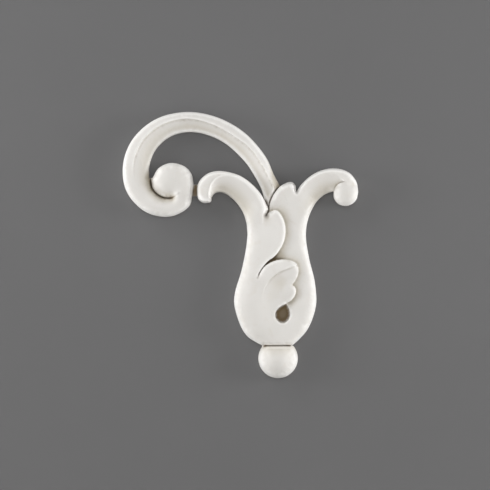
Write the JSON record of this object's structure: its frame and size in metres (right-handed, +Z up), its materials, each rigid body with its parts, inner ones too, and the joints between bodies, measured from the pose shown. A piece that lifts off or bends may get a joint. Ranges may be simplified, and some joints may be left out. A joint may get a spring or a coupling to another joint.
{
  "type": "relief ornament",
  "caption": "Cast scroll-and-leaf wall relief: a C-scroll ending in a volute, curled leaf arms, a pear-shaped leafy body and a half ball.",
  "frame": {"origin": "on the flat back, behind the middle of the pear-shaped body", "axes": "+X to the viewer's right, +Y out of the flat back into the wall, +Z up; the relief faces -Y"},
  "size_m": [0.3528, 0.031, 0.3998],
  "materials": {
    "cast_surface": "matte"
  },
  "bodies": {
    "root": {"scroll_ornament": "cast_surface"}
  },
  "joints": []
}
